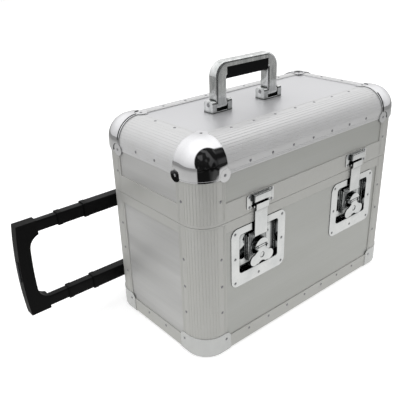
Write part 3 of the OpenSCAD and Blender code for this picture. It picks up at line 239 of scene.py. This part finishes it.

# %% [markdown]
# Chrome is a mirror: almost all of its look is what it reflects. Real chrome plate has fine
# polishing swirls and a slightly uneven surface, which keep its reflections from looking drawn. In
# corners and pressed recesses it mirrors mostly its own shaded walls, so its colour is darkened
# there as painted shade. That could be painted by hand, piece by piece. The ambient occlusion node
# finds such places on any shape, within the reach it is given.


# %% Chrome plate
def plated(name, light, dark, hollow_shade, reach_mm, roughness, metallic=1.0,
           swirl_mm=(25, 25, 25), ripple=0.05):
    material, tree, shader = new_finish(name, light, metallic, roughness)
    swirls = pattern(tree, swirl_mm, 5.0, 0.6)
    polished = uneven(tree, shader, swirls, dark, light, swirls, roughness - 0.02,
                      roughness + 0.04)
    # painted shade: where the occlusion finds a corner or recess, the colour goes over to the dark
    # hollow colour
    nook = add_node(tree, "ShaderNodeAmbientOcclusion", {"Distance": reach_mm * MM}, samples=8)
    open_air = add_node(tree, "ShaderNodeMapRange",
                        {"Value": nook.outputs["AO"], "From Min": 0.62, "From Max": 0.95})
    shade = add_node(tree, "ShaderNodeMix",
                     {"Factor": open_air.outputs["Result"], "A": colour(hollow_shade), "B": polished},
                     data_type="RGBA")
    tree.links.new(shade.outputs["Result"], shader.inputs["Base Color"])
    bump = add_node(tree, "ShaderNodeBump",
                    {"Height": pattern(tree, (16.67, 16.67, 16.67), 1.0), "Strength": ripple,
                     "Distance": 1 * MM})
    tree.links.new(bump.outputs["Normal"], shader.inputs["Normal"])
    return material


# a clean mirror, with painted shade that makes it almost black deep in the latch dishes
chrome = plated("chrome plate", "#F4F5F5", "#E2E4E5", hollow_shade="#2A2E2D", reach_mm=14,
                roughness=0.05)
# a mirror streaked up and down, so that it shows bands and no clear picture, with painted shade in
# its corners
handle_chrome = plated("brushed chrome handle", "#F4F5F5", "#C2C5C4", hollow_shade="#3E413E",
                       reach_mm=5, roughness=0.09, metallic=0.88, swirl_mm=(8.33, 8.33, 33.3))
# the clearest mirror, whose ripples make its reflections' rims uneven; light painted shade in
# corners
ball_chrome = plated("polished chrome ball corner", "#ECECEE", "#E4E4E6", hollow_shade="#8A8C8C",
                     reach_mm=3, roughness=0.04, ripple=0.10)
print(len(bpy.data.materials), "materials so far")

# %% [markdown]
# The black pieces are of three kinds. The tubes are black anodised, smooth with a satin sheen.
# The trolley's grip, brackets and collars are moulded nylon with a fine spark-eroded texture. The
# carry handle's grip, feet and tyres are rubber, which is duller still and slightly grey. Foam is
# the roughest, a dark grey that hardly shines. Their texture could be cut into the mesh, but that
# takes a great many faces, so bump draws it. Real grains and pores are 0.1 to 1 mm wide and are
# drawn 1 to 2.2 mm wide so that they show.


# %% Moulded finishes
def moulded(name, dark, light, roughness, grain_mm, depth_mm):
    material, tree, shader = new_finish(name, dark, 0.0, roughness, Specular_IOR_Level=0.11)
    patches = pattern(tree, (33.3, 33.3, 33.3), 3.0)
    uneven(tree, shader, patches, dark, light, patches, roughness - 0.05, roughness + 0.07)
    grain = add_node(tree, "ShaderNodeBump",
                     {"Height": pattern(tree, (grain_mm, grain_mm, grain_mm), 2.0),
                      "Strength": 0.35, "Distance": depth_mm * MM})
    tree.links.new(grain.outputs["Normal"], shader.inputs["Normal"])
    return material


# the smoothest black, with a narrow grey sheen along each tube
black_tube = moulded("black anodised tube", "#040405", "#070708", roughness=0.34,
                     grain_mm=1.5, depth_mm=0.03)
# matt and finely grained
black_nylon = moulded("moulded black nylon", "#040404", "#080809", roughness=0.46,
                      grain_mm=1.2, depth_mm=0.10)
# duller, a very dark grey that leans to blue
black_rubber = moulded("black rubber", "#07080A", "#0D0F11", roughness=0.60,
                       grain_mm=1.0, depth_mm=0.12)
# matt like the black nylon, and clearly grey beside it
grey_nylon = moulded("dark grey nylon", "#2C2D2F", "#37383B", roughness=0.45,
                     grain_mm=1.2, depth_mm=0.10)
# dull and a little dusty
tyre_rubber = moulded("tyre rubber", "#161616", "#222222", roughness=0.70,
                      grain_mm=1.4, depth_mm=0.20)
# no sheen at all, and pores that swallow the light
foam = moulded("grey foam lining", "#2E2F32", "#3A3B3F", roughness=0.95,
               grain_mm=2.2, depth_mm=0.60)
print(len(bpy.data.materials), "materials in all")

# %% [markdown]
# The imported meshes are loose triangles, and they are left as they are. Each finished piece starts
# as a copy of one. Its doubled points are merged and its flat areas cleaned up, so that curved
# faces can be shaded smooth. The copy then rides on the same body as its node, and takes its place.

# %% Copying a piece
BODY_OF = {node: body for body, nodes in frame["record"]["behaviour"]["bodies"].items()
           for node in nodes}
DOUBLED = 0.004 * MM
FLAT = math.radians(0.3)


def merged_copy(node, name):
    piece = frame["nodes"][node].copy()
    piece.data = frame["nodes"][node].data.copy()
    piece.name = name
    piece.data.name = name
    bpy.context.collection.objects.link(piece)
    piece.parent = None
    piece.matrix_world = Matrix.Identity(4)
    bpy.ops.object.select_all(action="DESELECT")
    piece.select_set(True)
    bpy.context.view_layer.objects.active = piece
    bpy.ops.mesh.customdata_custom_splitnormals_clear()
    bpy.ops.object.mode_set(mode="EDIT")
    bpy.ops.mesh.select_all(action="SELECT")
    bpy.ops.mesh.remove_doubles(threshold=DOUBLED)
    bpy.ops.mesh.dissolve_limited(angle_limit=FLAT)
    bpy.ops.object.mode_set(mode="OBJECT")
    return piece


def put_in_place(piece, node, material):
    piece.data.materials.clear()
    piece.data.materials.append(material)
    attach(piece, BODY_OF[node])
    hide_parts(node)


# %% [markdown]
# Pressed and cast pieces have a small round on every edge, and that round is what catches the
# light on chrome. The bevel node of the satin metals only bends the light, which a mirror would
# give away, so here a bevel modifier cuts the round into the mesh. Weighted normals then keep the
# big faces flat in the shading, so that their reflections don't bend towards the edges.

# %% Finishing a piece
SMOOTH_BELOW = math.radians(32)
ROUND_ABOVE = math.radians(40)


def finish_piece(node, material, round_mm):
    piece = merged_copy(node, "finished_" + node)
    bpy.ops.object.shade_smooth_by_angle(angle=SMOOTH_BELOW)
    if round_mm:
        bevel = piece.modifiers.new("edge round", "BEVEL")
        bevel.width = round_mm * MM
        bevel.segments = 2
        bevel.limit_method = "ANGLE"
        bevel.angle_limit = ROUND_ABOVE
        bevel.use_clamp_overlap = True
        bpy.ops.object.modifier_apply(modifier=bevel.name)
        flat = piece.modifiers.new("flat faces", "WEIGHTED_NORMAL")
        flat.keep_sharp = True
        bpy.ops.object.modifier_apply(modifier=flat.name)
    put_in_place(piece, node, material)


print("edges sharper than", round(math.degrees(ROUND_ABOVE)), "degrees can be rounded")

# %% [markdown]
# Every node has a finish. They could be given one by one, but a table keeps them in one place,
# where they are easy to compare and change. A second, short table gives the round on the edges of
# the pressed pieces in millimetres. All others keep the crisp edges of sheet and tube, or have
# their rounds in the frame already.

# %% Finishes of all pieces
FINISHES = {
    "base_front_panel": side_laminate, "base_back_panel": side_laminate,
    "base_side_panels": end_laminate, "base_bottom_panel": side_laminate,
    "lid_front_panel": side_laminate, "lid_back_panel": side_laminate,
    "lid_side_panels": end_laminate, "lid_top_panel": top_laminate,
    "base_corner_profiles": aluminium, "base_bottom_profiles": aluminium,
    "base_rim": aluminium, "lid_edge_profiles": lit_aluminium,
    "lid_corner_profiles": aluminium, "lid_rim": aluminium,
    "base_corner_caps": cap_metal, "ball_corners": ball_chrome,
    "base_rivets": dull_metal, "lid_rivets": dull_metal,
    "base_screws": dull_metal, "lid_screws": dull_metal,
    "side_feet": black_rubber, "hinge_base_leaves": zinc_metal,
    "hinge_lid_leaves": zinc_metal, "hinge_pins": dull_metal,
    "latch_dishes": chrome, "latch_keepers": chrome,
    "handle_brackets": handle_chrome, "handle_pins": dull_metal,
    "carry_handle": handle_chrome, "carry_handle_grip": black_rubber,
    "trolley_mouth_bracket": black_nylon, "trolley_end_bracket": black_nylon,
    "trolley_outer_tubes": black_tube, "trolley_stage_1": black_tube,
    "trolley_collars_1": black_nylon, "trolley_stage_2": black_tube,
    "trolley_collars_2": black_nylon, "trolley_stage_3": black_tube,
    "trolley_grip": black_nylon, "trolley_button": grey_nylon,
    "wheel_housings": black_nylon, "wheel_axles": zinc_metal,
    "lower_wheel_hub": grey_nylon, "upper_wheel_hub": grey_nylon,
    "lower_wheel_tyre": tyre_rubber, "upper_wheel_tyre": tyre_rubber,
}
EDGE_ROUND_MM = {"latch_dishes": 0.5, "latch_keepers": 0.4, "handle_brackets": 0.8}
LATCH_PIECES = {
    "latch_hub": (chrome, 0.3), "latch_wing": (chrome, 0.5), "latch_carrier": (zinc_metal, 0),
    "latch_hook": (chrome, 0.3), "hook_pin": (zinc_metal, 0),
}
for side in ("left", "right"):
    for name, (material, round_mm) in LATCH_PIECES.items():
        FINISHES[side + "_" + name] = material
        EDGE_ROUND_MM[side + "_" + name] = round_mm

for node, material in FINISHES.items():
    finish_piece(node, material, EDGE_ROUND_MM.get(node, 0))
print(len(FINISHES), "pieces finished")

# %% [markdown]
# Inside, base and lid are lined with sheets of soft grey foam, glued to the boards. Glued foam is
# never dead flat: it swells a little between the places where the glue took, and its cut edge is
# soft. A cloth simulation would make it hang, which a glued sheet can't do. So each lining is a
# copy of its tray in the frame, cut into a grid by bisecting planes, and a cloudy displacement
# lets its surface rise and sink by a few tenths of a millimetre. It only ever sinks below the
# tray's own face, so that it stays clear of the boards and the records.

# %% Foam linings
FOAM_GRID = 12 * MM
OFF_CENTRE = 0.013  # keeps each cut off any edge that is there already
SWELL_SIZE = 45 * MM
SWELL_DEPTH = 1.1 * MM
FOAM_SMOOTH = math.radians(50)


def lining(node, name):
    piece = merged_copy(node, name)
    low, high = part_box(node)
    bpy.ops.object.mode_set(mode="EDIT")
    for axis in range(3):
        across = Vector([float(i == axis) for i in range(3)])
        length = high[axis] - low[axis]
        count = max(1, round(length / FOAM_GRID))
        for i in range(1, count):
            place = across * (low[axis] + length * (i + OFF_CENTRE) / count)
            bpy.ops.mesh.select_all(action="SELECT")
            bpy.ops.mesh.bisect(plane_co=place, plane_no=across)
    bpy.ops.mesh.select_all(action="SELECT")
    bpy.ops.mesh.quads_convert_to_tris()
    bpy.ops.object.mode_set(mode="OBJECT")
    clouds = bpy.data.textures.new(name + " swell", "CLOUDS")
    clouds.noise_scale = SWELL_SIZE
    swell = piece.modifiers.new("swell", "DISPLACE")
    swell.texture = clouds
    swell.mid_level = 1.0
    swell.strength = SWELL_DEPTH
    bpy.ops.object.modifier_apply(modifier=swell.name)
    bpy.ops.object.shade_smooth_by_angle(angle=FOAM_SMOOTH)
    put_in_place(piece, node, foam)
    print(name, "has", len(piece.data.polygons), "faces")


lining("base_lining", "base_foam_lining")
lining("lid_lining", "lid_foam_lining")

# %% [markdown]
# The case stands on a sheet of white paper in a photo studio. The camera sees the paper as plain
# white with a soft shadow under the case, so it is matt paper with a little light of its own. To
# everything dull it is just pale paper that throws light back up.

# %% Floor
bpy.ops.mesh.primitive_plane_add(size=12, location=(0, 0, 0))
floor = bpy.context.object
floor.name = "studio_floor"
floor_finish, floor_tree, floor_shader = new_finish("pale floor", "#E6E6E6", 0.0, 0.9)
floor.data.materials.append(floor_finish)
glow = add_node(floor_tree, "ShaderNodeEmission", {"Color": (1, 1, 1, 1), "Strength": 0.46})
paper = add_node(floor_tree, "ShaderNodeAddShader",
                 {0: floor_shader.outputs["BSDF"], 1: glow.outputs["Emission"]})
print("floor is", round(floor.dimensions.x, 1), "m wide")

# %% [markdown]
# Chrome looks like chrome only when it has something dark to reflect. Black cards could stand
# round the case, but they would take its light and throw shadows. So reflections alone see more of
# the studio. Past the paper's edge lies the unlit floor of the room, between a pale wall on the
# left and a lamp on the right. A few dim things stand there and leave gleams. Each border is given
# by the way across it, and by how many metres along that way the dark begins and is full.


# %% Unlit part of the floor
def dim_things(tree, place, stretch, dark, gleam, faint, strong=0.68):
    """The value is dark where soft noise is faint, and gleam where it is strong."""
    stretched = add_node(tree, "ShaderNodeMapping", {"Vector": place, "Scale": stretch})
    things = add_node(tree, "ShaderNodeTexNoise",
                      {"Vector": stretched.outputs["Vector"], "Scale": 1.0, "Detail": 0.0})
    return add_node(tree, "ShaderNodeMapRange",
                    {"Value": things.outputs["Fac"], "From Min": faint, "From Max": strong,
                     "To Min": dark, "To Max": gleam}).outputs["Result"]


PAPER_EDGE = (0.71, 0.79)
BORDERS = [
    ((0.0, -1.0, 0.0), 0.1, 0.4),       # in front of the case
    ((-1.0, -1.0, 0.0), 0.44, 0.52),    # left of the lamp
    ((1.0, -1.48, 0.0), -0.13, -0.03),  # right of the wall
]

spot = add_node(floor_tree, "ShaderNodeTexCoord").outputs["Object"]
away = add_node(floor_tree, "ShaderNodeVectorMath", {0: spot}, operation="LENGTH")
off_paper = add_node(floor_tree, "ShaderNodeMapRange",
                     {"Value": away.outputs["Value"],
                      "From Min": PAPER_EDGE[0], "From Max": PAPER_EDGE[1]})
darkness = dim_things(floor_tree, spot, (2.2, 0.7, 1.0), dark=0.985, gleam=0.89, faint=0.50)
unlit = add_node(floor_tree, "ShaderNodeMath", {0: darkness, 1: off_paper.outputs["Result"]},
                 operation="MULTIPLY")
for way, begins, full in BORDERS:
    along = add_node(floor_tree, "ShaderNodeVectorMath", {0: spot, 1: way},
                     operation="DOT_PRODUCT")
    past = add_node(floor_tree, "ShaderNodeMapRange",
                    {"Value": along.outputs["Value"], "From Min": begins, "From Max": full})
    unlit = add_node(floor_tree, "ShaderNodeMath",
                     {0: unlit.outputs["Value"], 1: past.outputs["Result"]},
                     operation="MULTIPLY")
print("the unlit floor has", len(BORDERS) + 1, "borders")

# %% [markdown]
# In reflections the paper itself is light close by and falls off to grey. A light path node tells
# which kind of ray arrives, from the camera, from a mirror or any other, and picks the floor's
# look for it. Three floors in three scenes would do the same, but this keeps one floor.

# %% Floor's three looks
PAPER_NEAR, PAPER_FAR = (0.35, 0.80), (1.7, 0.30)  # distance in metres, then brightness

falling = add_node(floor_tree, "ShaderNodeMapRange",
                   {"Value": away.outputs["Value"],
                    "From Min": PAPER_NEAR[0], "From Max": PAPER_FAR[0],
                    "To Min": PAPER_NEAR[1], "To Max": PAPER_FAR[1]})
lit = add_node(floor_tree, "ShaderNodeMath", {0: 1.0, 1: unlit.outputs["Value"]},
               operation="SUBTRACT")
shine = add_node(floor_tree, "ShaderNodeMath",
                 {0: falling.outputs["Result"], 1: lit.outputs["Value"]}, operation="MULTIPLY")
mirrored = add_node(floor_tree, "ShaderNodeEmission",
                    {"Color": colour("#FAFAF8"), "Strength": shine.outputs["Value"]})
floor_rays = add_node(floor_tree, "ShaderNodeLightPath")
bounce = add_node(floor_tree, "ShaderNodeMixShader",
                  {0: floor_rays.outputs["Is Glossy Ray"], 1: floor_shader.outputs["BSDF"],
                   2: mirrored.outputs["Emission"]})
choice = add_node(floor_tree, "ShaderNodeMixShader",
                  {0: floor_rays.outputs["Is Camera Ray"], 1: bounce.outputs["Shader"],
                   2: paper.outputs["Shader"]})
floor_tree.links.new(choice.outputs["Shader"],
                     floor_tree.nodes["Material Output"].inputs["Surface"])
print("the floor's material has", len(floor_tree.nodes), "nodes")

# %% [markdown]
# The light is one soft white dome, brighter overhead than at the horizon, like a tent of cloth
# round the case. Lamps would do as well, but they leave hard spots on chrome. The camera itself
# sees plain white behind the case.

# %% Sky
HORIZON, OVERHEAD = 0.66, 1.3

world = bpy.data.worlds.new("studio")
bpy.context.scene.world = world
world.use_nodes = True
sky_tree = world.node_tree
sky_tree.nodes.clear()
direction = add_node(sky_tree, "ShaderNodeTexCoord").outputs["Generated"]
parts = add_node(sky_tree, "ShaderNodeSeparateXYZ", {"Vector": direction})
height = add_node(sky_tree, "ShaderNodeMapRange",
                  {"Value": parts.outputs["Z"], "From Min": 0.0, "From Max": 0.9,
                   "To Min": HORIZON, "To Max": OVERHEAD})
tent = add_node(sky_tree, "ShaderNodeBackground",
                {"Color": (1, 1, 1, 1), "Strength": height.outputs["Result"]})
white = add_node(sky_tree, "ShaderNodeBackground", {"Color": (1, 1, 1, 1), "Strength": 1.0})
print("the sky's light goes from", HORIZON, "at the horizon to", OVERHEAD, "overhead")

# %% [markdown]
# The tent has an opening low in front, where the camera stands, and the unlit room shows through
# it with a few dim gleams. It could be cut into a real tent, but a mask on the sky is quick to
# move. It is there in reflections only, as the unlit floor is, so that it darkens the chrome
# without taking light off the case.

# %% Opening in the sky
ROOM_WAY = (-0.08, -0.95, 0.30)
OPENING = (0.48, 0.54)  # how nearly a ray goes the room's way at the rim and inside it

toward = add_node(sky_tree, "ShaderNodeVectorMath", {0: direction, 1: ROOM_WAY},
                  operation="DOT_PRODUCT")
gleams = dim_things(sky_tree, direction, (3.2, 3.2, 2.0), dark=0.01, gleam=0.07, faint=0.52)
room = add_node(sky_tree, "ShaderNodeMapRange",
                {"Value": toward.outputs["Value"], "From Min": OPENING[0],
                 "From Max": OPENING[1], "To Min": 1.0, "To Max": gleams})
dimmed = add_node(sky_tree, "ShaderNodeMath",
                  {0: height.outputs["Result"], 1: room.outputs["Result"]},
                  operation="MULTIPLY")
mirror_sky = add_node(sky_tree, "ShaderNodeBackground",
                      {"Color": (1, 1, 1, 1), "Strength": dimmed.outputs["Value"]})
sky_rays = add_node(sky_tree, "ShaderNodeLightPath")
sky_light = add_node(sky_tree, "ShaderNodeMixShader",
                     {0: sky_rays.outputs["Is Glossy Ray"], 1: tent.outputs["Background"],
                      2: mirror_sky.outputs["Background"]})
sky_mix = add_node(sky_tree, "ShaderNodeMixShader",
                   {0: sky_rays.outputs["Is Camera Ray"], 1: sky_light.outputs["Shader"],
                    2: white.outputs["Background"]})
add_node(sky_tree, "ShaderNodeOutputWorld", {"Surface": sky_mix.outputs["Shader"]})
print("the sky has", len(sky_tree.nodes), "nodes")
